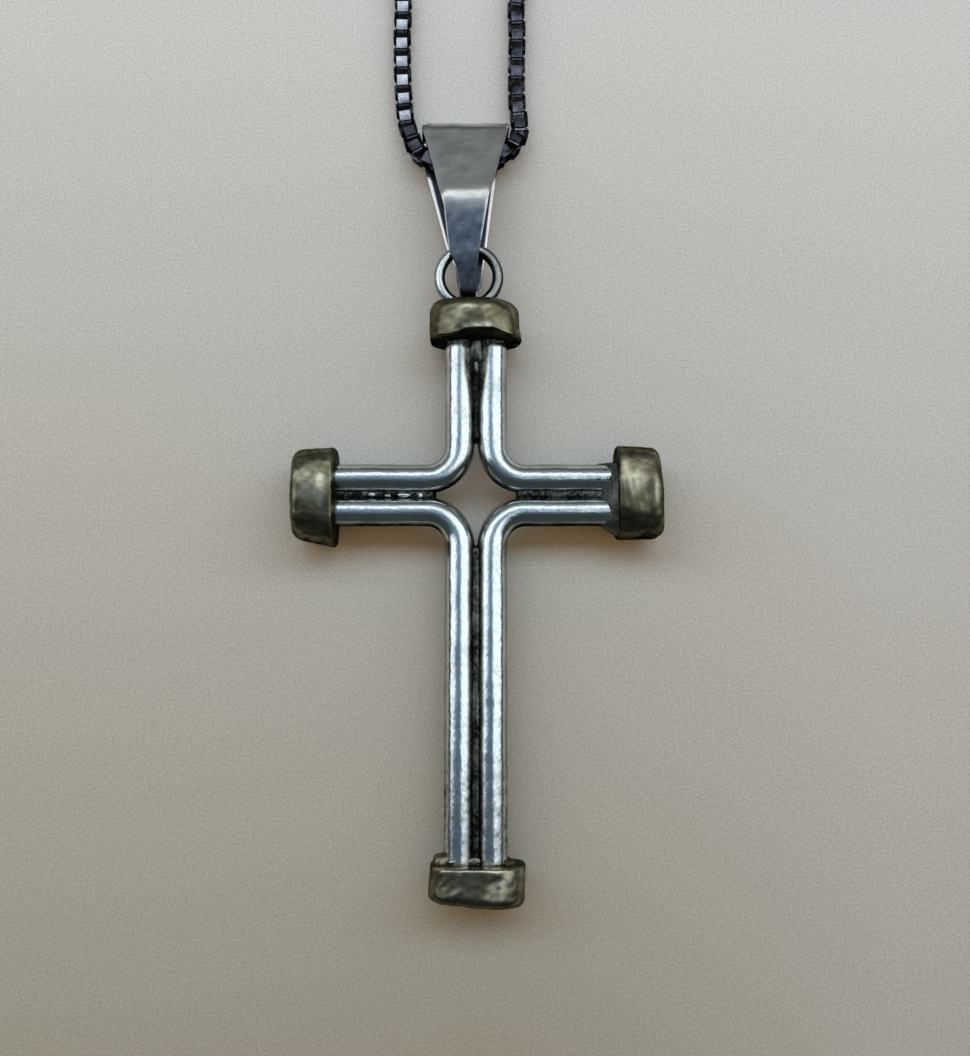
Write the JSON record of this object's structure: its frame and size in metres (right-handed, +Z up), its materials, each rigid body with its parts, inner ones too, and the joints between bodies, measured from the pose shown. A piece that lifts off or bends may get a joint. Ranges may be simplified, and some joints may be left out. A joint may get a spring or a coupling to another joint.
{
  "type": "cross pendant on a box chain",
  "caption": "Cross pendant of paired bent wires with block end caps, hung by a ring and a folded bail on a fine box chain with a barrel clasp, laid flat.",
  "frame": {"origin": "the point of the surface that the pendant lies on, below the crossing of the cross", "axes": "+Y along the upright towards the ring and the bail, +Z up out of the surface, +X along the arm to the right as seen from the front"},
  "size_m": [0.1144, 0.1993, 0.0046],
  "materials": {
    "silver_wire": "worn polished silver, dark in the seams",
    "aged_brass": "hammered and tarnished olive brown, rubbed bright on the crests",
    "silver_sheet": "worn silver sheet with fine scratches",
    "dark_silver": "oxidised silver, bright on the links' edges"
  },
  "bodies": {
    "root": {"cross_frame": "silver_wire", "cap_top": "aged_brass", "cap_bottom": "aged_brass", "cap_left": "aged_brass", "cap_right": "aged_brass", "hanging_ring": "silver_wire", "bail": "silver_sheet", "chain": "dark_silver", "clasp": "dark_silver"}
  },
  "joints": []
}
